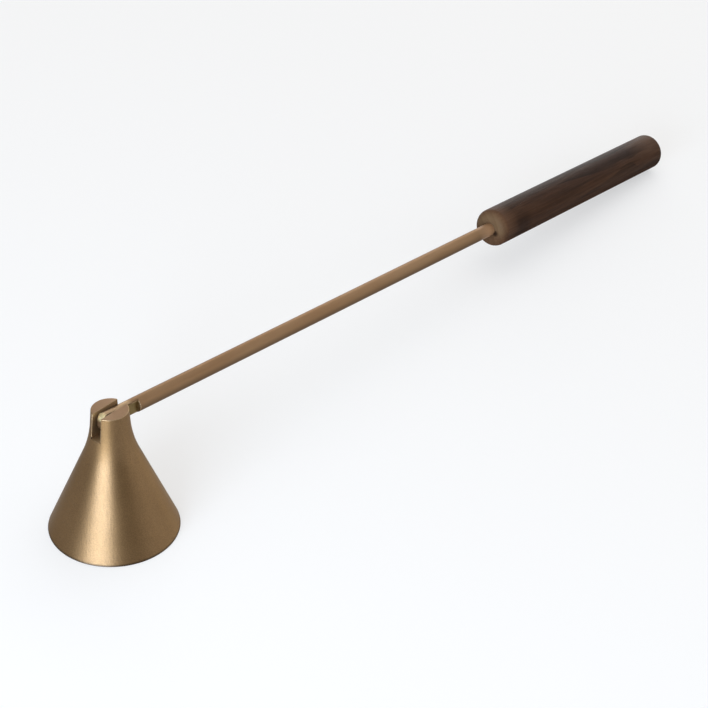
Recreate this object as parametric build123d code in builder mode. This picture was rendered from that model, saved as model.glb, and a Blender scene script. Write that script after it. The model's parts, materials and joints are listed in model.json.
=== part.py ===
from build123d import *
from math import asin, atan, atan2, cos, hypot, radians, sin, tan
import os

# Candle snuffer: a hinged brass bell on a brass rod with a turned wooden handle.
# Millimetres, +Z up. The origin is the centre of the bell's mouth, on the surface
# that the snuffer stands on, and +X points from the bell towards the handle.

# Bell
mouth_diameter = 40.5
bell_height = 43.55
bell_wall = 1.6
neck_diameter = 11.28  # across the flat top face
neck_length = 10.65  # from the top face down to where the neck's and the cone's lines cross
neck_draft = 4.24  # degrees that the neck opens downwards
flare_share = 0.57  # share of the neck's line that the hollow flare takes up
crown_web = 2.8  # brass left between the slot's floor and the bell's hollow
crown_round = 2.5  # inside the top of the hollow
rim_break = 0.15
top_break = 0.12  # round the neck's two flat tops
slot_break = 0.3  # along the slot's other outer edges
seam_turn = 45.0  # degrees, the turned surface's seam clear of slot and pin

# Hinge
top_margin = 0.49  # the neck's top face above the rod's upper line at the pin
hinge_offset = 0.2  # slot and tongue stand this far off the middle, towards +Y
side_clearance = 0.55  # tongue to each wall of the slot
tail_clearance = 0.8  # swinging tail to the slot's floor
shoulder_clearance = 2.2  # tongue's shoulder past the slot's outer edge
pin_diameter = 1.6
pin_clearance = 0.05  # running fit in the tongue, all round
pin_seat = 2.65  # blind depth of the pin in the ear on the -Y side
pin_sink = 0.1  # the pin's other end below the neck's outside
pin_break = 0.15

# Rod
rod_diameter = 4.76
tongue_thickness = 2.4
tail_reach = 4.1  # from the pin to the tongue's blunt end
nose_round = 2.2  # the blunt end's upper corner
tail_round = 0.5  # the blunt end's lower corner
tang_length = 40.0  # inside the handle
tang_break = 0.5
groove_count = 3
groove_depth = 0.35
groove_width = 1.2
groove_pitch = 8.0

# Handle
handle_standoff = 196.4  # from the pin to the handle's front face
handle_diameter = 14.0
handle_length = 114.7
front_round = 2.9
end_round = 0.8
bond_gap = 0.15  # glue line between tang and bore
bond_recess = 1.0  # glue line's start behind the front face
bore_spare = 2.0  # bore past the tang's end
drill_point = 118.0  # degrees, the bore's pointed floor

mouth_radius = mouth_diameter / 2
neck_radius = neck_diameter / 2
rod_radius = rod_diameter / 2
pin_radius = pin_diameter / 2
handle_radius = handle_diameter / 2

# The tail swings under the pin, and the slot is just deep enough for it.
hinge_drop = rod_radius + top_margin
hinge_height = bell_height - hinge_drop
nose_swing = hypot(tail_reach - nose_round, rod_radius - nose_round) + nose_round
tail_swing = hypot(tail_reach - tail_round, rod_radius - tail_round) + tail_round
slot_depth = hinge_drop + max(nose_swing, tail_swing) + tail_clearance
slot_width = tongue_thickness + 2 * side_clearance
neck_slope = tan(radians(neck_draft))
slot_edge_radius = neck_radius + slot_depth * neck_slope
tongue_reach = hypot(slot_edge_radius, slot_depth - hinge_drop) + shoulder_clearance

# The rod leans down until the handle's far end rests on the same surface as the rim.
handle_end = handle_standoff + handle_length
lean_run = handle_end - end_round
lean_side = handle_radius - end_round
lean_drop = hinge_height - end_round
lean = asin(lean_drop / hypot(lean_run, lean_side)) - atan2(lean_side, lean_run)

arm_plane = Plane(
    origin=(0, 0, hinge_height), x_dir=(cos(lean), 0, -sin(lean)), z_dir=(0, -1, 0)
)
arm_axis = Axis(arm_plane.origin, arm_plane.x_dir)

# Bell: a turned cup, slotted across the neck
waist_height = bell_height - neck_length
waist_radius = neck_radius + neck_length * neck_slope
cone_angle = atan((mouth_radius - waist_radius) / waist_height)
flare_turn = cone_angle - radians(neck_draft)
flare_radius = flare_share * neck_length / cos(radians(neck_draft)) / tan(flare_turn / 2)
slot_floor_height = bell_height - slot_depth
hollow_height = slot_floor_height - crown_web
hollow_mouth = mouth_radius - bell_wall / cos(cone_angle)
hollow_crown = hollow_mouth - hollow_height * tan(cone_angle)
wall_near = hinge_offset - slot_width / 2
wall_far = hinge_offset + slot_width / 2

# The breaks round the neck's tops are cut, and each cut runs one break past the edge.
brow_run = top_break + top_break * neck_slope
brow_inside = neck_radius - top_break - brow_run
brow_outside = brow_inside + 3 * brow_run
break_top = bell_height + top_break
break_foot = bell_height - 2 * top_break

pin_near = wall_near - pin_seat
pin_far = neck_radius + hinge_drop * neck_slope - pin_sink
pin_plane = Plane(origin=(0, pin_near, hinge_height), z_dir=(0, 1, 0))

turning_plane = Plane.XZ.rotated((0, 0, seam_turn))

with BuildPart() as bell:
    with BuildSketch(turning_plane) as bell_outside:
        with BuildLine():
            Polyline(
                (0, 0),
                (mouth_radius, 0),
                (waist_radius, waist_height),
                (neck_radius, bell_height),
                (0, bell_height),
                close=True,
            )
        make_face()
        waist = bell_outside.vertices().sort_by_distance((waist_radius, waist_height, 0))[0]
        fillet(waist, radius=flare_radius)
    revolve(axis=Axis.Z)
    with BuildSketch(turning_plane) as bell_hollow:
        with BuildLine():
            Polyline(
                (0, 0),
                (hollow_mouth, 0),
                (hollow_crown, hollow_height),
                (0, hollow_height),
                close=True,
            )
        make_face()
        crown = bell_hollow.vertices().sort_by_distance((hollow_crown, hollow_height, 0))[0]
        fillet(crown, radius=crown_round)
    revolve(axis=Axis.Z, mode=Mode.SUBTRACT)
    rim = bell.faces().sort_by(Axis.Z)[0]
    chamfer(rim.outer_wire().edges(), length=rim_break)
    with BuildSketch(Plane.XY.offset(bell_height)) as slot:
        with Locations((0, hinge_offset)):
            Rectangle(mouth_diameter, slot_width)
    extrude(amount=-slot_depth, mode=Mode.SUBTRACT)
    slot_walls = bell.faces().filter_by(Axis.Y)
    slot_floor = bell.faces().filter_by(Axis.Z).sort_by_distance((0, 0, slot_floor_height))[0]
    neck_tops = bell.faces().filter_by_position(Axis.Z, bell_height, bell_height)
    slot_corners = slot_walls.edges() & slot_floor.edges()
    slot_edges = slot_walls.edges() + slot_floor.edges() - slot_corners - neck_tops.edges()
    chamfer(slot_edges, length=slot_break)
    with BuildSketch(turning_plane) as brow_cut:
        with BuildLine():
            Polyline(
                (brow_inside, break_top),
                (brow_outside, break_top),
                (brow_outside, break_foot),
                close=True,
            )
        make_face()
    revolve(axis=Axis.Z, mode=Mode.SUBTRACT)
    with BuildSketch(Plane.YZ) as lip_cut:
        with BuildLine():
            Polyline(
                (wall_near - 2 * top_break, break_top),
                (wall_far + 2 * top_break, break_top),
                (wall_far - top_break, break_foot),
                (wall_near + top_break, break_foot),
                close=True,
            )
        make_face()
    extrude(amount=neck_diameter, both=True, mode=Mode.SUBTRACT)
    with BuildSketch(pin_plane) as pin_hole:
        Circle(pin_radius)
    extrude(amount=neck_diameter, mode=Mode.SUBTRACT)

# Hinge pin: blind in one ear, dressed off below the surface of the other
with BuildPart() as hinge_pin:
    with BuildSketch(pin_plane) as pin_section:
        Circle(pin_radius)
    extrude(amount=pin_far - pin_near)
    chamfer(hinge_pin.edges().filter_by(GeomType.CIRCLE), length=pin_break)

# Rod: round stock with a flat tongue at the hinge and a grooved tang in the handle
tang_end = handle_standoff + tang_length
rod_length = tang_end + tail_reach
flat_length = tongue_reach + tail_reach
groove_middle = tang_end - groove_pitch * groove_count

with BuildPart() as rod:
    with BuildSketch(arm_plane) as rod_half:
        with Locations(((tang_end - tail_reach) / 2, rod_radius / 2)):
            Rectangle(rod_length, rod_radius)
        tang_corner = rod_half.vertices().sort_by_distance((tang_end, rod_radius, 0))[0]
        chamfer(tang_corner, length=tang_break)
        with Locations((groove_middle, rod_radius - groove_depth / 2)):
            with GridLocations(groove_pitch, 0, groove_count, 1):
                Rectangle(groove_width, groove_depth, mode=Mode.SUBTRACT)
    revolve(axis=arm_axis)
    with BuildSketch(arm_plane) as rod_side:
        with Locations(((tang_end - tail_reach) / 2, 0)):
            Rectangle(rod_length, rod_diameter)
        upper_corner = rod_side.vertices().group_by(Axis.X)[0].sort_by(Axis.Y)[-1]
        fillet(upper_corner, radius=nose_round)
        lower_corner = rod_side.vertices().group_by(Axis.X)[0].sort_by(Axis.Y)[0]
        fillet(lower_corner, radius=tail_round)
    extrude(amount=rod_diameter, both=True, mode=Mode.INTERSECT)
    for side in (1, -1):
        with BuildSketch(arm_plane.offset(side * tongue_thickness / 2 - hinge_offset)) as tongue_flat:
            with Locations(((tongue_reach - tail_reach) / 2, 0)):
                Rectangle(flat_length, rod_diameter)
        extrude(amount=side * rod_diameter, mode=Mode.SUBTRACT)
    with BuildSketch(arm_plane) as tongue_hole:
        Circle(pin_radius + pin_clearance)
    extrude(amount=rod_diameter, both=True, mode=Mode.SUBTRACT)

# Handle: a turned wooden grip with a blind bore from its front face
bore_radius = rod_radius + bond_gap
bore_floor = tang_end + bore_spare
bore_point = bore_floor + bore_radius / tan(radians(drill_point / 2))

with BuildPart() as handle:
    with BuildSketch(arm_plane) as handle_half:
        with BuildLine():
            Polyline(
                (handle_standoff, bore_radius),
                (handle_standoff, handle_radius),
                (handle_end, handle_radius),
                (handle_end, 0),
                (bore_point, 0),
                (bore_floor, bore_radius),
                close=True,
            )
        make_face()
        front_corner = handle_half.vertices().sort_by_distance((handle_standoff, handle_radius, 0))[0]
        fillet(front_corner, radius=front_round)
        end_corner = handle_half.vertices().sort_by_distance((handle_end, handle_radius, 0))[0]
        fillet(end_corner, radius=end_round)
    revolve(axis=arm_axis)

# Handle bond: the set glue between tang and bore, keyed into the tang's grooves
bond_start = handle_standoff + bond_recess
bond_end = tang_end - tang_break

with BuildPart() as handle_bond:
    with BuildSketch(arm_plane) as bond_half:
        with Locations(((bond_start + bond_end) / 2, bore_radius / 2)):
            Rectangle(bond_end - bond_start, bore_radius)
    revolve(axis=arm_axis)
    add(rod.part, mode=Mode.SUBTRACT)

bell.part.label = "bell"
hinge_pin.part.label = "hinge_pin"
rod.part.label = "rod"
handle.part.label = "handle"
handle_bond.part.label = "handle_bond"

os.makedirs("parts", exist_ok=True)
export_step(bell.part, "parts/bell.step")
export_step(hinge_pin.part, "parts/hinge_pin.step")
export_step(rod.part, "parts/rod.step")
export_step(handle.part, "parts/handle.step")
export_step(handle_bond.part, "parts/handle_bond.step")
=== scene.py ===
import bpy
import json
import math
from mathutils import Matrix, Vector


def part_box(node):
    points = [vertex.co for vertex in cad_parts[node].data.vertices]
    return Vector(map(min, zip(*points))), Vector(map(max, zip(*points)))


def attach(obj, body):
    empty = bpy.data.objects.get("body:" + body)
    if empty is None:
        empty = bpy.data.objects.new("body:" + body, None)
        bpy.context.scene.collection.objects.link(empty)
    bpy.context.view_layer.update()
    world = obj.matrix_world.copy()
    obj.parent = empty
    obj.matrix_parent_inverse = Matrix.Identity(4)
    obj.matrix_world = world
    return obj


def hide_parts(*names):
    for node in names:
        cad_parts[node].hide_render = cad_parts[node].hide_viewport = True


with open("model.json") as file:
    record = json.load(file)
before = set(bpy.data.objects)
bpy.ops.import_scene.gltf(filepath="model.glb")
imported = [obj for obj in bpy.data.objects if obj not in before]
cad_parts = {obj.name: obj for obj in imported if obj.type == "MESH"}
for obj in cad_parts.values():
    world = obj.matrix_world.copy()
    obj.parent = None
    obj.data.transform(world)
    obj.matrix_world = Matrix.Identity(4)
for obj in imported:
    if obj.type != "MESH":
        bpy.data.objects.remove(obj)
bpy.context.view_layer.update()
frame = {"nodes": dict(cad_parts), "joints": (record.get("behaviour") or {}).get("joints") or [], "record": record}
mm = 0.001
nearEnough = 0.01  # millimetres, when faces and edges are picked by their place
exactly = 0.001  # millimetres, when edges lie on a cut
sameSpot = 0.002  # millimetres, when doubles are merged
facing = 0.99  # least share of a normal along the way that a face looks
smoothAngle = 30.0  # degrees between faces that are shaded as one
print("frame loaded:", len(frame["nodes"]), "nodes")

# where the hinge is, and how the arm leans
hinge = Vector(frame["joints"][0]["pos_m"])
grip = next(mount for mount in frame["record"]["mounts"] if mount["name"] == "grip")
armAxis = Vector(grip["axis"]).normalized()
lean = math.atan2(-armAxis.z, armAxis.x)


# Mesh tools

def deselectAll():
    bpy.ops.object.select_all(action="DESELECT")


def makeActive(piece):
    deselectAll()
    piece.select_set(True)
    bpy.context.view_layer.objects.active = piece


def roundedOutline(corners):
    # each corner is (x, y, radius, steps), and a radius of 0 leaves it sharp
    outline = []
    last = len(corners) - 1
    for index, (x, y, radius, steps) in enumerate(corners):
        corner = Vector((x, y))
        if radius == 0 or index in (0, last):
            outline.append(corner)
            continue
        toBefore = (Vector(corners[index - 1][:2]) - corner).normalized()
        toAfter = (Vector(corners[index + 1][:2]) - corner).normalized()
        halfAngle = toBefore.angle(toAfter) / 2
        centre = corner + (toBefore + toAfter).normalized() * radius / math.sin(halfAngle)
        tangentLength = radius / math.tan(halfAngle)
        startSpoke = (corner + toBefore * tangentLength - centre).normalized()
        endSpoke = (corner + toAfter * tangentLength - centre).normalized()
        for step in range(steps + 1):
            outline.append(centre + startSpoke.slerp(endSpoke, step / steps) * radius)
    return outline


def turnOnLathe(name, points, axis, sides):
    # a chain of points in millimetres, drawn by extruding one vertex, then spun about the axis
    deselectAll()
    bpy.ops.mesh.primitive_plane_add(size=mm, location=(0, 0, 0))
    piece = bpy.context.object
    piece.name = name
    piece.data.name = name
    bpy.ops.object.mode_set(mode="EDIT")
    bpy.ops.mesh.select_mode(type="VERT")
    bpy.ops.mesh.merge(type="CENTER")
    bpy.ops.transform.translate(value=points[0] * mm)
    for before, after in zip(points, points[1:]):
        bpy.ops.mesh.extrude_vertices_move(TRANSFORM_OT_translate={"value": (after - before) * mm})
    bpy.ops.mesh.select_all(action="SELECT")
    bpy.ops.mesh.spin(steps=sides, angle=2 * math.pi, center=(0, 0, 0), axis=axis)
    bpy.ops.mesh.select_all(action="SELECT")
    bpy.ops.mesh.remove_doubles(threshold=sameSpot * mm)
    bpy.ops.object.mode_set(mode="OBJECT")
    return piece


def selectEdges(piece, wanted):
    # wanted gets the two ends of an edge in millimetres
    makeActive(piece)
    bpy.ops.object.mode_set(mode="EDIT")
    bpy.ops.mesh.select_mode(type="EDGE")
    bpy.ops.mesh.select_all(action="DESELECT")
    bpy.ops.object.mode_set(mode="OBJECT")
    points = [vertex.co / mm for vertex in piece.data.vertices]
    for edge in piece.data.edges:
        edge.select = bool(wanted(points[edge.vertices[0]], points[edge.vertices[1]]))
    bpy.ops.object.mode_set(mode="EDIT")


def pointOut(piece):
    makeActive(piece)
    bpy.ops.object.mode_set(mode="EDIT")
    bpy.ops.mesh.select_all(action="SELECT")
    bpy.ops.mesh.normals_make_consistent(inside=False)
    bpy.ops.object.mode_set(mode="OBJECT")


def cutWith(piece, cutter, operation="DIFFERENCE"):
    makeActive(piece)
    bpy.ops.object.modifier_add(type="BOOLEAN")
    cut = piece.modifiers[-1]
    cut.operation = operation
    cut.solver = "EXACT"
    cut.object = cutter
    bpy.ops.object.modifier_apply(modifier=cut.name)
    makeActive(cutter)
    bpy.ops.object.delete()


def addBlock(low, high):
    # a cutter between two corners in millimetres
    low = Vector(low) * mm
    high = Vector(high) * mm
    deselectAll()
    bpy.ops.mesh.primitive_cube_add(size=1, location=(low + high) / 2)
    block = bpy.context.object
    block.dimensions = high - low
    bpy.ops.object.transform_apply(location=True, rotation=True, scale=True)
    return block


def addDrill(radius, start, end, sides=32):
    # a cutter along Y, from start to end in millimetres
    deselectAll()
    bpy.ops.mesh.primitive_cylinder_add(vertices=sides, radius=radius * mm, depth=(end - start) * mm,
                                        location=(0, (start + end) / 2 * mm, 0),
                                        rotation=(math.pi / 2, 0, 0))
    bpy.ops.object.transform_apply(location=True, rotation=True, scale=True)
    return bpy.context.object


def markFaces(piece, name, marked):
    # a mark for the finish to read; marked gets a face, its middle in millimetres and its normal
    mark = piece.data.attributes.get(name) or piece.data.attributes.new(name, "FLOAT", "FACE")
    for face, value in zip(piece.data.polygons, mark.data):
        value.value = max(value.value, float(marked(face, face.center / mm, face.normal)))


def breakEdges(piece, width, segments):
    # rounds the selected edges and marks the rounds, for the wear in the finishes and for the painted shade along
    # the tongue's edges in the slot
    bpy.ops.mesh.bevel(offset=width * mm, segments=segments, profile=0.5, affect="EDGES")
    bpy.ops.object.mode_set(mode="OBJECT")

    def onRound(face, middle, normal):
        square = max(abs(normal.x), abs(normal.y), abs(normal.z)) > 1 - exactly
        return face.select and not square

    markFaces(piece, "roundedEdges", onRound)


def finishMesh(piece):
    makeActive(piece)
    bpy.ops.object.mode_set(mode="EDIT")
    bpy.ops.mesh.select_all(action="SELECT")
    bpy.ops.mesh.remove_doubles(threshold=sameSpot * mm)
    bpy.ops.object.mode_set(mode="OBJECT")
    pointOut(piece)
    bpy.ops.object.shade_smooth_by_angle(angle=math.radians(smoothAngle))
    bpy.ops.object.modifier_add(type="WEIGHTED_NORMAL")
    piece.modifiers[-1].keep_sharp = True
    bpy.ops.object.modifier_apply(modifier=piece.modifiers[-1].name)


def placeOnArm(piece):
    # made along +X with the hinge at the origin, then turned to the arm's lean
    makeActive(piece)
    piece.location = hinge
    piece.rotation_euler = (0, lean, 0)
    bpy.ops.object.transform_apply(location=True, rotation=True, scale=True)


# Node tools

def newFinish(name):
    finish = bpy.data.materials.new(name)
    finish.use_nodes = True
    return finish, finish.node_tree, finish.node_tree.nodes["Principled BSDF"]


def addNode(tree, kind, inputs=None, **settings):
    node = tree.nodes.new("ShaderNode" + kind)
    for key, value in settings.items():
        setattr(node, key, value)
    for key, value in (inputs or {}).items():
        if isinstance(value, bpy.types.NodeSocket):
            tree.links.new(value, node.inputs[key])
        else:
            node.inputs[key].default_value = value
    return node


def objectCoords(tree):
    return addNode(tree, "TexCoord").outputs["Object"]


def armCoords(tree):
    # object coordinates turned so that X runs along the arm from the hinge
    place = {"Vector": objectCoords(tree), "Location": hinge, "Rotation": (0, lean, 0)}
    return addNode(tree, "Mapping", place, vector_type="TEXTURE").outputs["Vector"]


def stretched(tree, vector, scale):
    return addNode(tree, "Mapping", {"Vector": vector, "Scale": scale}).outputs["Vector"]


def noise(tree, vector, scale, detail=2.0, roughness=0.5):
    settings = {"Vector": vector, "Scale": scale, "Detail": detail, "Roughness": roughness}
    return addNode(tree, "TexNoise", settings).outputs["Fac"]


def remap(tree, value, low, high, newLow, newHigh):
    settings = {"Value": value, "From Min": low, "From Max": high, "To Min": newLow, "To Max": newHigh}
    return addNode(tree, "MapRange", settings).outputs["Result"]


def fade(tree, value, start, end, first, last):
    # a remap whose start and end are in millimetres
    return remap(tree, value, start * mm, end * mm, first, last)


def readMark(tree, name):
    return addNode(tree, "Attribute", attribute_name=name).outputs["Fac"]


def calc(tree, operation, first, second):
    return addNode(tree, "Math", {0: first, 1: second}, operation=operation).outputs["Value"]


mixPlaces = {"first": 6, "second": 7, "result": 2}  # the Mix node's colour sockets share their names


def mixColour(tree, amount, first, second):
    node = addNode(tree, "Mix", {"Factor": amount}, data_type="RGBA")
    for place, value in (("first", first), ("second", second)):
        socket = node.inputs[mixPlaces[place]]
        if isinstance(value, bpy.types.NodeSocket):
            tree.links.new(value, socket)
        else:
            socket.default_value = (*value, 1)
    return node.outputs[mixPlaces["result"]]


def bump(tree, height, depth, strength, normal=None):
    # depth is in millimetres
    settings = {"Height": height, "Distance": depth * mm, "Strength": strength}
    if normal is not None:
        settings["Normal"] = normal
    return addNode(tree, "Bump", settings).outputs["Normal"]


# Bell: turned brass, slotted across the neck (lengths in millimetres here and below)

bell = {
    "sides": 112,
    "mouthDiameter": 40.5,
    "wall": 1.6,
    "rimRound": 0.2,
    "neckDiameter": 11.28,
    "neckLength": 10.65,
    "neckDraft": 4.24,
    "flareShare": 0.57,
    "slotWidth": 3.5,
    "slotDepth": 8.231,
    "slotOffset": 0.2,
    "slotBreak": 0.3,
    "topBreak": 0.18,
    "crownWeb": 2.8,
    "crownRound": 2.5,
    "pinDiameter": 1.6,
    "pinSeat": 2.65,
    "columnMargin": 1.0,
}


def makeBell():
    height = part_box("bell")[1].z / mm
    mouth = bell["mouthDiameter"] / 2
    neck = bell["neckDiameter"] / 2
    draft = math.radians(bell["neckDraft"])
    waist = neck + bell["neckLength"] * math.tan(draft)
    waistHeight = height - bell["neckLength"]
    coneAngle = math.atan((mouth - waist) / waistHeight)
    flareTangent = bell["flareShare"] * bell["neckLength"] / math.cos(draft)
    flare = flareTangent / math.tan((coneAngle - draft) / 2)
    slotFloor = height - bell["slotDepth"]
    slotHalf = bell["slotWidth"] / 2
    slotMiddle = bell["slotOffset"]
    hollowHeight = slotFloor - bell["crownWeb"]
    hollowMouth = mouth - bell["wall"] / math.cos(coneAngle)
    hollowCrown = hollowMouth - hollowHeight * math.tan(coneAngle)
    outline = roundedOutline([
        (0, hollowHeight, 0, 0),
        (hollowCrown, hollowHeight, bell["crownRound"], 8),
        (hollowMouth, 0, bell["rimRound"], 4),
        (mouth, 0, bell["rimRound"], 4),
        (waist, waistHeight, flare, 16),
        (neck, height, 0, 0),
    ])
    points = [Vector((x, 0, z)) for x, z in outline]
    piece = turnOnLathe("bellTurned", points, (0, 0, 1), bell["sides"])

    def topEdge(a, b):
        return min(a.z, b.z) > height - nearEnough

    # close the top with one face
    selectEdges(piece, topEdge)
    bpy.ops.mesh.edge_face_add()
    bpy.ops.object.mode_set(mode="OBJECT")
    pointOut(piece)

    # the columns beside the slot become one wide column, which leaves room for the edge breaks
    def nearWall(point):
        wall = slotHalf + math.copysign(slotMiddle, point.y)
        low = math.asin(wall / waist)
        high = math.asin((wall + bell["slotBreak"]) / neck)
        return low < math.atan2(abs(point.y), abs(point.x)) < high

    def besideSlot(a, b):
        outside = min(a.xy.length, b.xy.length) > neck - nearEnough
        highEnough = min(a.z, b.z) > slotFloor - bell["columnMargin"]
        upright = abs(a.z - b.z) > nearEnough
        return outside and highEnough and upright and nearWall(a) and nearWall(b)

    selectEdges(piece, besideSlot)
    bpy.ops.mesh.dissolve_edges(use_verts=True)
    bpy.ops.object.mode_set(mode="OBJECT")

    cutWith(piece, addBlock((-mouth, slotMiddle - slotHalf, slotFloor),
                            (mouth, slotMiddle + slotHalf, height + slotHalf)))

    def onWall(point):
        return abs(abs(point.y - slotMiddle) - slotHalf) < exactly and point.z > slotFloor - exactly

    def onFloor(point):
        return abs(point.z - slotFloor) < exactly and abs(point.y - slotMiddle) < slotHalf + exactly

    def slotEdge(a, b):
        alongWall = onWall(a) and onWall(b)
        alongFloor = onFloor(a) and onFloor(b)
        return alongWall != alongFloor and not topEdge(a, b)

    selectEdges(piece, slotEdge)
    breakEdges(piece, bell["slotBreak"], 4)
    selectEdges(piece, topEdge)
    breakEdges(piece, bell["topBreak"], 3)

    drill = addDrill(bell["pinDiameter"] / 2, slotMiddle - slotHalf - bell["pinSeat"], mouth)
    drill.location = hinge
    cutWith(piece, drill)

    def inSlot(face, middle, normal):
        wallFace = abs(normal.y) > facing and abs(middle.y - slotMiddle) < slotHalf + nearEnough
        floorFace = normal.z > facing and abs(middle.z - slotFloor) < nearEnough
        return wallFace or floorFace

    def onTop(face, middle, normal):
        return normal.z > facing and middle.z > height - nearEnough

    markFaces(piece, "milled", inSlot)
    markFaces(piece, "faced", onTop)
    finishMesh(piece)
    return piece


bellPiece = makeBell()
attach(bellPiece, "bell")
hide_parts("bell")
print("bell:", len(bellPiece.data.polygons), "faces")


# Rod: round brass stock with a flat tongue at the hinge and a grooved tang in the handle

rod = {
    "sides": 48,
    "tongueThickness": 2.4,
    "tailReach": 4.1,
    "noseRound": 2.2,
    "tailRound": 0.5,
    "shoulderReach": 10.435,
    "edgeBreak": 0.3,
    "pinHoleDiameter": 1.7,
    "tangLength": 40.0,
    "tangBreak": 0.5,
    "grooveCount": 3,
    "grooveDepth": 0.35,
    "grooveWidth": 1.2,
    "groovePitch": 8.0,
}

handle = {
    "sides": 96,
    "frontRound": 2.9,
    "endRound": 0.8,
    "boreRadius": 2.53,
    "boreFloor": 238.4,
    "borePoint": 1.5,
    "mouthGap": 0.03,
    "mouthDepth": 0.9,
    "mouthLip": 0.06,
}

gripMiddle = (Vector(grip["pos_m"]) - hinge).dot(armAxis) / mm
gripHalf = grip["dims"]["length_mm"] / 2
handleRadius = grip["dims"]["r_mm"]
handleFront = gripMiddle - gripHalf - handle["frontRound"]
handleEnd = gripMiddle + gripHalf + handle["endRound"]
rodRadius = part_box("rod")[1].y / mm


def makeRod():
    tangEnd = handleFront + rod["tangLength"]
    tangNeck = rodRadius - rod["grooveDepth"]
    corners = [(-rod["tailReach"], 0), (-rod["tailReach"], rodRadius)]
    for number in range(rod["grooveCount"]):
        middle = tangEnd - rod["groovePitch"] * (rod["grooveCount"] + 1 - number)
        start = middle - rod["grooveWidth"] / 2
        end = middle + rod["grooveWidth"] / 2
        corners += [(start, rodRadius), (start, tangNeck), (end, tangNeck), (end, rodRadius)]
    corners.append((tangEnd - rod["tangBreak"], rodRadius))
    corners.append((tangEnd, rodRadius - rod["tangBreak"]))
    corners.append((tangEnd, 0))

    # half a step round, so that no column lies along the tongue's edges
    halfStep = math.pi / rod["sides"]
    points = [Vector((x, r * math.sin(halfStep), r * math.cos(halfStep))) for x, r in corners]
    piece = turnOnLathe("rodTurned", points, (1, 0, 0), rod["sides"])
    pointOut(piece)

    # tail rounded in side view, by a block that is a hair higher than the rod
    tail = -rod["tailReach"]
    wide = rodRadius * 2
    high = rodRadius * 1.001
    block = addBlock((tail, -wide, -high), (tangEnd + rodRadius, wide, high))
    for side, radius in ((1, rod["noseRound"]), (-1, rod["tailRound"])):
        def tailEdge(a, b):
            return max(a.x, b.x) < tail + nearEnough and a.z == b.z and a.z * side > 0

        selectEdges(block, tailEdge)
        bpy.ops.mesh.bevel(offset=radius * mm, segments=8, profile=0.5, affect="EDGES")
        bpy.ops.object.mode_set(mode="OBJECT")
    cutWith(piece, block, "INTERSECT")

    # the two flats of the tongue
    half = rod["tongueThickness"] / 2
    shoulder = rod["shoulderReach"]
    tongueMiddle = bell["slotOffset"]
    for side in (1, -1):
        ends = sorted((tongueMiddle + side * half, side * wide))
        cutWith(piece, addBlock((tail - rodRadius, ends[0], -wide), (shoulder, ends[1], wide)))

    def tongueEdge(a, b):
        onFlat = all(abs(abs(point.y - tongueMiddle) - half) < exactly for point in (a, b))
        onShoulder = all(abs(point.x - shoulder) < exactly for point in (a, b))
        return max(a.x, b.x) < shoulder + nearEnough and onFlat != onShoulder

    selectEdges(piece, tongueEdge)
    breakEdges(piece, rod["edgeBreak"], 3)
    cutWith(piece, addDrill(rod["pinHoleDiameter"] / 2, -wide, wide))

    def flatFace(face, middle, normal):
        return abs(normal.y) > facing and abs(middle.y - tongueMiddle) < half + nearEnough

    def shoulderFace(face, middle, normal):
        return normal.x < -facing and abs(middle.x - shoulder) < nearEnough

    markFaces(piece, "milled", flatFace)
    markFaces(piece, "shoulder", shoulderFace)
    finishMesh(piece)
    placeOnArm(piece)
    return piece


rodPiece = makeRod()
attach(rodPiece, "arm")
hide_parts("rod")
print("rod:", len(rodPiece.data.polygons), "faces")


# Handle: turned dark wood with a blind bore for the tang

def makeHandle():
    mouthEnd = handleFront + handle["mouthDepth"]
    mouthRadius = rodRadius + handle["mouthGap"]
    outline = roundedOutline([
        (handle["boreFloor"] + handle["borePoint"], 0, 0, 0),
        (handle["boreFloor"], handle["boreRadius"], 0, 0),
        (mouthEnd, handle["boreRadius"], 0, 0),
        (mouthEnd, mouthRadius, 0, 0),
        (handleFront, mouthRadius, handle["mouthLip"], 3),
        (handleFront, handleRadius, handle["frontRound"], 12),
        (handleEnd, handleRadius, handle["endRound"], 6),
        (handleEnd, 0, 0, 0),
    ])
    points = [Vector((x, 0, r)) for x, r in outline]
    piece = turnOnLathe("handleTurned", points, (1, 0, 0), handle["sides"])
    pointOut(piece)
    # end faces marked for the painted light of the end grain
    markFaces(piece, "endGrainPaintedLight", lambda face, middle, normal: normal.x ** 2)
    finishMesh(piece)
    placeOnArm(piece)
    return piece


handlePiece = makeHandle()
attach(handlePiece, "arm")
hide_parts("handle")
print("handle:", len(handlePiece.data.polygons), "faces")


# Brass finishes

bellBrass = {
    "colour": (0.252, 0.152, 0.067),
    "patina": (0.205, 0.119, 0.049),
    "worn": (0.44, 0.315, 0.185),
    "milled": (0.38, 0.25, 0.13),
    "faced": (0.390, 0.252, 0.155),
    "speck": (0.115, 0.068, 0.028),
    "speckle": 0.42,
    "cloudScale": 90.0,
    # painted contact shadow: a dark band along the bottom of the rim
    "rimShadow": (0.055, 0.034, 0.016),
    "rimShadowFrom": 0.9,
    "rimShadowTo": 0.3,
    "edgeTint": (0.42, 0.36, 0.30),
    "coneRoughness": 0.43,
    "neckRoughness": 0.48,
    "neckFrom": 28.0,
    "neckTo": 37.0,
    "wornGloss": 0.08,
    "milledDullness": 0.25,
    "anisotropy": 0.64,
    "brushTurn": 0.25,
    "lacquer": 0.3,
    "lacquerRoughness": 0.3,
    "lineSpacing": 0.16,
    "lineBreaks": 9.0,
    "lineDepth": 0.02,
    "grainSize": 0.34,
    "grainDepth": 0.044,
}

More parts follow.
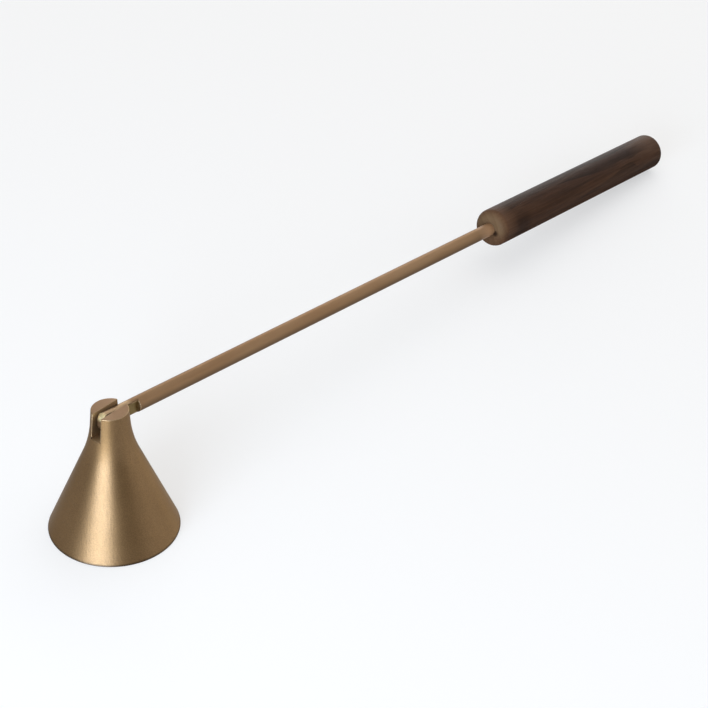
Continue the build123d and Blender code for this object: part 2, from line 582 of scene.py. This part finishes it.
rodBrass = {
    "colour": (0.290, 0.186, 0.106),
    "patina": (0.255, 0.154, 0.083),
    # painted shade on the rod's lower half
    "underside": (0.130, 0.083, 0.046),
    "underShadeFrom": 1.3,
    "underShadeTo": -0.3,
    "underShadeAmount": 0.8,
    "darkFrom": 100.0,
    "darkTo": 190.0,
    "darkAmount": 0.2,
    # painted light near the handle, in place of the handle's dark reflection
    "entryLight": (0.40, 0.225, 0.115),
    "entryLightFrom": 187.0,
    "entryLightTo": 193.0,
    "entryLightAmount": 0.75,
    "worn": (0.30, 0.205, 0.118),
    # painted shade along the tongue's edges in the slot
    "seam": (0.045, 0.028, 0.014),
    "seamFrom": 8.5,
    "seamTo": 7.0,
    # painted light on the tongue's top
    "tongueTopLight": (0.43, 0.30, 0.18),
    "tongueTopLightFrom": 1.4,
    "tongueTopLightTo": 2.0,
    # painted highlight on the nose
    "noseHighlight": (1.0, 0.86, 0.50),
    "noseHighlightFrom": -2.2,
    "noseHighlightTo": -3.3,
    "noseHighlightLow": -0.2,
    "noseHighlightHigh": 1.2,
    "milled": (0.18, 0.128, 0.056),
    # painted light on the shoulder face, which lies in shade
    "shoulder": (0.44, 0.33, 0.18),
    "edgeTint": (0.56, 0.54, 0.54),
    "roughness": 0.38,
    "lineSpacing": 0.12,
    "lineDepth": 0.01,
    "cloudLength": 30.0,
    "grainScale": 4000.0,
    "grainDepth": 0.015,
}


def turnedCoords(tree, spacing, breaks):
    # rings round Z: a slow way round, and a fine way along the outline
    place = objectCoords(tree)
    flat = addNode(tree, "VectorMath", {0: place, 1: (1, 1, 0)}, operation="MULTIPLY").outputs["Vector"]
    around = addNode(tree, "VectorMath", {0: flat}, operation="NORMALIZE").outputs["Vector"]
    radius = addNode(tree, "VectorMath", {0: flat}, operation="LENGTH").outputs["Value"]
    height = addNode(tree, "SeparateXYZ", {"Vector": place}).outputs["Z"]
    along = calc(tree, "SUBTRACT", height, radius)
    fine = calc(tree, "DIVIDE", along, spacing * mm)
    turns = addNode(tree, "SeparateXYZ", {"Vector": around})
    rings = addNode(tree, "CombineXYZ", {"Z": fine})
    for axis in "XY":
        tree.links.new(calc(tree, "MULTIPLY", turns.outputs[axis], breaks), rings.inputs[axis])
    return rings.outputs["Vector"]


def makeBellBrass():
    finish, tree, shader = newFinish("bellBrass")
    place = objectCoords(tree)
    height = addNode(tree, "SeparateXYZ", {"Vector": place}).outputs["Z"]
    rings = turnedCoords(tree, bellBrass["lineSpacing"], bellBrass["lineBreaks"])
    lines = noise(tree, rings, 1.0, 3.0, 0.6)
    grain = noise(tree, place, 1 / (bellBrass["grainSize"] * mm), 1.5, 0.6)
    clouds = noise(tree, place, bellBrass["cloudScale"], 3.0, 0.55)
    wear = readMark(tree, "roundedEdges")
    milled = readMark(tree, "milled")

    # tarnish, ring lines and specks, then worn edges, cut faces and a painted contact shadow along the rim
    tarnish = remap(tree, clouds, 0.35, 0.7, 0.0, 0.55)
    colour = mixColour(tree, tarnish, bellBrass["colour"], bellBrass["patina"])
    streak = remap(tree, lines, 0.3, 0.7, 0.0, 0.25)
    colour = mixColour(tree, streak, colour, bellBrass["patina"])
    specks = remap(tree, grain, 0.38, 0.66, 0.0, bellBrass["speckle"])
    colour = mixColour(tree, specks, colour, bellBrass["speck"])
    edgeAmount = calc(tree, "MULTIPLY", wear, remap(tree, grain, 0.3, 0.6, 0.35, 0.9))
    colour = mixColour(tree, edgeAmount, colour, bellBrass["worn"])
    colour = mixColour(tree, milled, colour, bellBrass["milled"])
    colour = mixColour(tree, readMark(tree, "faced"), colour, bellBrass["faced"])
    # painted contact shadow along the bottom of the rim
    paintedShadow = fade(tree, height, bellBrass["rimShadowFrom"], bellBrass["rimShadowTo"], 0.0, 0.95)
    colour = mixColour(tree, paintedShadow, colour, bellBrass["rimShadow"])
    tree.links.new(colour, shader.inputs["Base Color"])

    # brushed round the bell under a thin lacquer
    shader.inputs["Metallic"].default_value = 1.0
    shader.inputs["Specular Tint"].default_value = (*bellBrass["edgeTint"], 1)
    shader.inputs["Coat Weight"].default_value = bellBrass["lacquer"]
    shader.inputs["Coat Roughness"].default_value = bellBrass["lacquerRoughness"]
    shader.inputs["Anisotropic"].default_value = bellBrass["anisotropy"]
    shader.inputs["Anisotropic Rotation"].default_value = bellBrass["brushTurn"]
    tangent = addNode(tree, "Tangent", direction_type="RADIAL", axis="Z")
    tree.links.new(tangent.outputs["Tangent"], shader.inputs["Tangent"])

    # duller up the neck and in the slot, glossier on the edges
    rough = fade(tree, height, bellBrass["neckFrom"], bellBrass["neckTo"],
                 bellBrass["coneRoughness"], bellBrass["neckRoughness"])
    rough = calc(tree, "ADD", rough, remap(tree, lines, 0.25, 0.75, -0.04, 0.05))
    rough = calc(tree, "SUBTRACT", rough, calc(tree, "MULTIPLY", wear, bellBrass["wornGloss"]))
    rough = calc(tree, "ADD", rough, calc(tree, "MULTIPLY", milled, bellBrass["milledDullness"]))
    tree.links.new(rough, shader.inputs["Roughness"])
    surface = bump(tree, lines, bellBrass["lineDepth"], 0.6)
    surface = bump(tree, grain, bellBrass["grainDepth"], 1.0, surface)
    tree.links.new(surface, shader.inputs["Normal"])
    return finish


def makeRodBrass(name="rodBrass"):
    finish, tree, shader = newFinish(name)
    place = armCoords(tree)
    parts = addNode(tree, "SeparateXYZ", {"Vector": place})
    along = parts.outputs["X"]
    height = parts.outputs["Z"]
    fine = 1 / (rodBrass["lineSpacing"] * mm)
    slow = 1 / (rodBrass["cloudLength"] * mm)
    lines = noise(tree, stretched(tree, place, (60.0, fine, fine)), 1.0, 3.0, 0.6)
    clouds = noise(tree, stretched(tree, place, (slow, 180.0, 180.0)), 1.0, 3.0, 0.6)
    grain = noise(tree, place, rodBrass["grainScale"], 2.0, 0.6)

    # tarnish and drawn lines, painted shade on the lower half, and darker towards the handle
    tarnish = remap(tree, clouds, 0.35, 0.65, 0.0, 1.0)
    colour = mixColour(tree, tarnish, rodBrass["colour"], rodBrass["patina"])
    streak = remap(tree, lines, 0.35, 0.7, 0.0, 0.3)
    colour = mixColour(tree, streak, colour, rodBrass["patina"])
    darkened = fade(tree, along, rodBrass["darkFrom"], rodBrass["darkTo"], 0.0, rodBrass["darkAmount"])
    colour = mixColour(tree, darkened, colour, rodBrass["underside"])
    # painted shade, darkest at the rod's lower edge
    paintedUnderShade = fade(tree, height, rodBrass["underShadeFrom"], rodBrass["underShadeTo"],
                 0.0, rodBrass["underShadeAmount"])
    colour = mixColour(tree, paintedUnderShade, colour, rodBrass["underside"])

    # the tongue: painted light on its top and painted shade along its edges in the slot, worn edges outside it,
    # cut faces, and painted light on the shoulder face
    inSlot = fade(tree, along, rodBrass["seamFrom"], rodBrass["seamTo"], 0.0, 1.0)
    # painted light on the tongue's top inside the slot
    onTop = fade(tree, height, rodBrass["tongueTopLightFrom"], rodBrass["tongueTopLightTo"], 0.0, 1.0)
    onTop = calc(tree, "MULTIPLY", inSlot, onTop)
    colour = mixColour(tree, onTop, colour, rodBrass["tongueTopLight"])
    # painted shade along the tongue's edges in the slot, wear on the edges outside it
    edgeWearAndShade = mixColour(tree, inSlot, rodBrass["worn"], rodBrass["seam"])
    edgeAmount = calc(tree, "MULTIPLY", readMark(tree, "roundedEdges"), remap(tree, grain, 0.3, 0.6, 0.65, 1.0))
    colour = mixColour(tree, edgeAmount, colour, edgeWearAndShade)
    colour = mixColour(tree, readMark(tree, "milled"), colour, rodBrass["milled"])
    # the shoulder face is painted brighter, as painted light on a face in shade
    colour = mixColour(tree, readMark(tree, "shoulder"), colour, rodBrass["shoulder"])

    # painted highlight on the upper part of the nose
    atNose = fade(tree, along, rodBrass["noseHighlightFrom"], rodBrass["noseHighlightTo"], 0.0, 1.0)
    upper = fade(tree, height, rodBrass["noseHighlightLow"], rodBrass["noseHighlightHigh"], 0.0, 1.0)
    paintedNoseHighlight = calc(tree, "MULTIPLY", atNose, upper)
    colour = mixColour(tree, paintedNoseHighlight, colour, rodBrass["noseHighlight"])

    # painted light where the rod meets the handle: less metal and a brighter flat colour, in place of the dark
    # reflection of the handle's face
    paintedEntryLight = fade(tree, along, rodBrass["entryLightFrom"], rodBrass["entryLightTo"], 0.0, rodBrass["entryLightAmount"])
    colour = mixColour(tree, paintedEntryLight, colour, rodBrass["entryLight"])
    tree.links.new(colour, shader.inputs["Base Color"])
    tree.links.new(calc(tree, "SUBTRACT", 1.0, paintedEntryLight), shader.inputs["Metallic"])
    shader.inputs["Specular Tint"].default_value = (*rodBrass["edgeTint"], 1)

    base = rodBrass["roughness"]
    tree.links.new(remap(tree, lines, 0.25, 0.75, base - 0.06, base + 0.08), shader.inputs["Roughness"])
    surface = bump(tree, lines, rodBrass["lineDepth"], 0.5)
    surface = bump(tree, grain, rodBrass["grainDepth"], 0.4, surface)
    tree.links.new(surface, shader.inputs["Normal"])
    return finish


bellPiece.data.materials.append(makeBellBrass())
rodPiece.data.materials.append(makeRodBrass())
frame["nodes"]["hinge_pin"].material_slots[0].material = makeRodBrass("pinBrass")
print("brass finishes on bell, rod and pin")


# Wood and glue finishes

walnut = {
    "dark": (0.014, 0.0062, 0.0032),
    "middle": (0.046, 0.0195, 0.0092),
    "light": (0.080, 0.037, 0.0175),
    "pale": (0.147, 0.076, 0.043),
    "paleFrontFrom": 1.6,
    "paleFrontTo": 9.5,
    "paleFrontAmount": 0.7,
    "paleEndFrom": 22.0,
    "paleEndTo": 7.0,
    "paleEndAmount": 0.55,
    # painted light on the end faces
    "endGrainPaintedLight": (0.149, 0.094, 0.049),
    "figurePlace": (209.0, -7.0, 0.5),
    "figureSize": 6.5,
    # painted shadow of the rod on the handle's front face
    "rodShadowPlace": (-2.8, -0.7),
    "rodShadowSize": 1.5,
    "ringSpacing": 2.6,
    "ringWander": 6.0,
    "pithOffset": (0.0, 9.0, -6.0),
    "roughness": 0.37,
    "dullRoughness": 0.85,
    "dullBelow": -4.0,
    "oiledAbove": 1.0,
    "specular": 0.028,
    "poreDepth": 0.05,
    "fibreDepth": 0.03,
}

glue = {
    "dark": (0.10, 0.06, 0.025),
    "light": (0.22, 0.14, 0.06),
    "mottleScale": 900.0,
    "depth": 0.05,
}


def growthRings(tree, place):
    # from 0 to 1 across each ring round the pith, which lies beside the handle
    pith = Vector(walnut["pithOffset"]) * mm
    fromPith = addNode(tree, "VectorMath", {0: place, 1: pith}, operation="SUBTRACT").outputs["Vector"]
    across = addNode(tree, "VectorMath", {0: fromPith, 1: (0, 1, 1)}, operation="MULTIPLY")
    radius = addNode(tree, "VectorMath", {0: across.outputs["Vector"]}, operation="LENGTH")
    drift = noise(tree, stretched(tree, place, (14.0, 60.0, 60.0)), 1.0, 2.0, 0.5)
    wander = calc(tree, "MULTIPLY", drift, walnut["ringWander"] * mm)
    wander = calc(tree, "ADD", radius.outputs["Value"], wander)
    return calc(tree, "FRACT", calc(tree, "DIVIDE", wander, walnut["ringSpacing"] * mm), 0.0)


def spot(tree, place, middle, size, core, strength):
    # strength within the core's share of the size, and nothing past the size
    middle = Vector(middle) * mm
    away = addNode(tree, "VectorMath", {0: place, 1: middle}, operation="DISTANCE").outputs["Value"]
    return fade(tree, away, core * size, size, strength, 0.0)


def makeWalnut():
    finish, tree, shader = newFinish("walnutOiled")
    place = armCoords(tree)
    parts = addNode(tree, "SeparateXYZ", {"Vector": place})
    along = parts.outputs["X"]
    height = parts.outputs["Z"]
    ring = growthRings(tree, place)
    fibre = noise(tree, stretched(tree, place, (70.0, 1600.0, 1600.0)), 1.0, 3.0, 0.65)
    streak = noise(tree, stretched(tree, place, (9.0, 300.0, 300.0)), 1.0, 3.0, 0.55)
    pores = noise(tree, stretched(tree, place, (180.0, 3200.0, 3200.0)), 1.0, 2.0, 0.6)

    # rings, streaks, fibres and one dark figure
    colour = mixColour(tree, remap(tree, ring, 0.15, 1.0, 0.0, 0.75), walnut["middle"], walnut["dark"])
    colour = mixColour(tree, remap(tree, streak, 0.45, 0.75, 0.0, 0.8), colour, walnut["light"])
    colour = mixColour(tree, remap(tree, fibre, 0.35, 0.75, 0.0, 0.6), colour, walnut["dark"])
    figure = spot(tree, place, walnut["figurePlace"], walnut["figureSize"], 0.3, 0.6)
    colour = mixColour(tree, figure, colour, walnut["dark"])

    # paler towards both ends as painted light, strongest on top; at the front it carries on the end face's painted
    # light
    nearFront = fade(tree, along,
                     handleFront + walnut["paleFrontFrom"], handleFront + walnut["paleFrontTo"],
                     walnut["paleFrontAmount"], 0.0)
    nearFront = calc(tree, "MULTIPLY", nearFront, fade(tree, height, -1, handleRadius, 0.45, 1.0))
    nearEnd = fade(tree, along,
                   handleEnd - walnut["paleEndFrom"], handleEnd - walnut["paleEndTo"],
                   0.0, walnut["paleEndAmount"])
    # at the far end only the top is paler, as painted light
    nearEnd = calc(tree, "MULTIPLY", nearEnd, fade(tree, height, 2.5, handleRadius, 0.0, 1.0))
    paler = calc(tree, "MAXIMUM", nearFront, nearEnd)
    paler = calc(tree, "MULTIPLY", paler, remap(tree, fibre, 0.35, 0.7, 1.0, 0.75))
    colour = mixColour(tree, paler, colour, walnut["pale"])

    # end grain painted paler as painted light, with painted shade on its lower part and a painted shadow of the
    # rod beside it
    paintedEndLight = calc(tree, "MULTIPLY", readMark(tree, "endGrainPaintedLight"), remap(tree, ring, 0.1, 0.9, 0.85, 0.6))
    # painted shade on the lower part of the end face
    paintedEndLight = calc(tree, "MULTIPLY", paintedEndLight, fade(tree, height, -2.5, 1.0, 0.3, 1.0))
    colour = mixColour(tree, paintedEndLight, colour, walnut["endGrainPaintedLight"])
    # painted shadow of the rod on the front face
    paintedShadow = spot(tree, place, (handleFront, *walnut["rodShadowPlace"]), walnut["rodShadowSize"], 0.4, 0.9)
    colour = mixColour(tree, paintedShadow, colour, walnut["dark"])
    tree.links.new(colour, shader.inputs["Base Color"])

    # oiled on top, duller underneath
    shader.inputs["Specular IOR Level"].default_value = walnut["specular"]
    rough = fade(tree, height, walnut["dullBelow"], walnut["oiledAbove"],
                 walnut["dullRoughness"], walnut["roughness"])
    rough = calc(tree, "ADD", rough, remap(tree, fibre, 0.3, 0.7, -0.05, 0.1))
    tree.links.new(rough, shader.inputs["Roughness"])
    surface = bump(tree, remap(tree, pores, 0.3, 0.45, 0.0, 1.0), walnut["poreDepth"], 0.5)
    surface = bump(tree, fibre, walnut["fibreDepth"], 0.4, surface)
    tree.links.new(surface, shader.inputs["Normal"])
    return finish


def makeGlue():
    finish, tree, shader = newFinish("setGlue")
    mottle = noise(tree, objectCoords(tree), glue["mottleScale"], 3.0, 0.6)
    tree.links.new(mixColour(tree, mottle, glue["dark"], glue["light"]), shader.inputs["Base Color"])
    tree.links.new(remap(tree, mottle, 0.3, 0.7, 0.25, 0.4), shader.inputs["Roughness"])
    tree.links.new(bump(tree, mottle, glue["depth"], 0.4), shader.inputs["Normal"])
    return finish


handlePiece.data.materials.append(makeWalnut())
frame["nodes"]["handle_bond"].material_slots[0].material = makeGlue()
print("wood and glue finishes on handle and bond")


# Studio: pale floor, one soft key low on the left, soft light from above

studio = {
    "floorSize": 40.0,
    "floorDrop": 0.05,
    "floorColour": (0.93, 0.93, 0.93),
    "floorRoughness": 0.9,
    "floorLift": 0.5,
    "horizonLevel": (0.10, 0.085, 0.075),
    "lowLevel": (0.12, 0.105, 0.095),
    "middleLevel": (0.24, 0.23, 0.22),
    "highLevel": (0.74, 0.73, 0.71),
    "zenithLevel": (1.12, 1.10, 1.08),
}

# soft panels round the object: bearing is from the bell, clockwise from the camera as the picture
# shows it, and with the height it is in degrees; radiance 1 is as bright as white paper in this light
panels = {
    "keySoftbox": {"bearing": -20.0, "height": 12.0, "distance": 0.9, "size": (0.60, 0.46),
                   "radiance": 11.5, "colour": (0.86, 1.0, 1.18)},
    "keyHalo": {"bearing": -23.0, "height": 12.0, "distance": 0.9, "size": (1.15, 0.62),
                "radiance": 2.3, "colour": (0.86, 1.0, 1.18)},
    "rightPanel": {"bearing": 80.0, "height": 12.0, "distance": 1.0, "size": (0.75, 0.6),
                   "radiance": 0.6, "colour": (1, 1, 1)},
    "leftPanel": {"bearing": -85.0, "height": 12.0, "distance": 1.0, "size": (0.75, 0.6),
                  "radiance": 0.12, "colour": (1, 1, 1)},
    "backPanel": {"bearing": 140.0, "height": 24.0, "distance": 2.6, "size": (6.6, 2.4),
                  "radiance": 0.6, "colour": (1, 1, 1)},
    "backStrip": {"bearing": 165.0, "height": 12.0, "distance": 2.6, "size": (5.0, 1.1),
                  "radiance": 2.1, "colour": (0.98, 1, 1.01)},
}

photoCamera = {
    "target": (99.525, -13.103, 18.436),
    "distance": 620.785,
    "azimuth": -142.711,
    "elevation": 34.49,
    "roll": 2.789,
    "lens": 95.04,
    "sensor": 36.0,
    "clipStart": 0.01,
}


def makeFloor():
    deselectAll()
    underneath = (0, 0, -studio["floorDrop"] * mm)
    bpy.ops.mesh.primitive_plane_add(size=studio["floorSize"], location=underneath)
    floor = bpy.context.object
    floor.name = "paleFloor"
    finish, tree, shader = newFinish("paleFloor")
    shader.inputs["Base Color"].default_value = (*studio["floorColour"], 1)
    shader.inputs["Roughness"].default_value = studio["floorRoughness"]
    shader.inputs["Specular IOR Level"].default_value = 0.0
    # the camera and the brass see the floor lifted part of the way to white, with its shadow
    rays = addNode(tree, "LightPath").outputs
    seen = calc(tree, "MAXIMUM", rays["Is Camera Ray"], rays["Is Glossy Ray"])
    seen = calc(tree, "MAXIMUM", seen, rays["Is Transmission Ray"])
    lift = calc(tree, "MULTIPLY", seen, studio["floorLift"])
    white = addNode(tree, "Emission", {"Strength": 1.0}).outputs["Emission"]
    lifted = addNode(tree, "MixShader", {0: lift, 1: shader.outputs["BSDF"], 2: white}).outputs["Shader"]
    tree.links.new(lifted, tree.nodes["Material Output"].inputs["Surface"])
    finish.cycles.emission_sampling = "NONE"
    floor.data.materials.append(finish)


def makeWorld():
    world = bpy.data.worlds.new("softRoom")
    bpy.context.scene.world = world
    world.use_nodes = True
    tree = world.node_tree
    way = addNode(tree, "TexCoord").outputs["Generated"]
    height = addNode(tree, "SeparateXYZ", {"Vector": way}).outputs["Z"]
    ramp = addNode(tree, "ValToRGB", {"Fac": height})
    stops = ((0.0, "horizonLevel"), (0.3, "lowLevel"), (0.6, "middleLevel"), (0.8, "highLevel"),
             (1.0, "zenithLevel"))
    while len(ramp.color_ramp.elements) < len(stops):
        ramp.color_ramp.elements.new(0.5)
    for element, (position, level) in zip(ramp.color_ramp.elements, stops):
        element.position = position
        element.color = (*studio[level], 1)
    tree.links.new(ramp.outputs["Color"], tree.nodes["Background"].inputs["Color"])


def addPanel(name, panel):
    turn = math.radians(photoCamera["azimuth"] + panel["bearing"])
    rise = math.radians(panel["height"])
    way = Vector((math.cos(turn) * math.cos(rise), math.sin(turn) * math.cos(rise), math.sin(rise)))
    width, height = panel["size"]
    deselectAll()
    bpy.ops.object.light_add(type="AREA", location=way * panel["distance"])
    lamp = bpy.context.object
    lamp.name = name
    lamp.rotation_euler = way.to_track_quat("Z", "Y").to_euler()
    lamp.data.shape = "RECTANGLE"
    lamp.data.size = width
    lamp.data.size_y = height
    lamp.data.color = panel["colour"]
    lamp.data.energy = panel["radiance"] * math.pi * width * height


def makeCamera():
    azimuth = math.radians(photoCamera["azimuth"])
    elevation = math.radians(photoCamera["elevation"])
    roll = math.radians(photoCamera["roll"])
    back = Vector((math.cos(elevation) * math.cos(azimuth), math.cos(elevation) * math.sin(azimuth),
                   math.sin(elevation)))
    level = Vector((-math.sin(azimuth), math.cos(azimuth), 0))
    upright = back.cross(level)
    right = level * math.cos(roll) + upright * math.sin(roll)
    up = upright * math.cos(roll) - level * math.sin(roll)
    deselectAll()
    bpy.ops.object.camera_add()
    camera = bpy.context.object
    camera.name = "photoCamera"
    turned = Matrix((right, up, back)).transposed().to_4x4()
    place = Vector(photoCamera["target"]) * mm + back * photoCamera["distance"] * mm
    camera.matrix_world = Matrix.Translation(place) @ turned
    camera.data.lens = photoCamera["lens"]
    camera.data.sensor_width = photoCamera["sensor"]
    camera.data.clip_start = photoCamera["clipStart"]
    bpy.context.scene.camera = camera


makeFloor()
makeWorld()
for name, panel in panels.items():
    addPanel(name, panel)
makeCamera()
bpy.context.scene.view_settings.view_transform = "Standard"
print("studio and camera set")
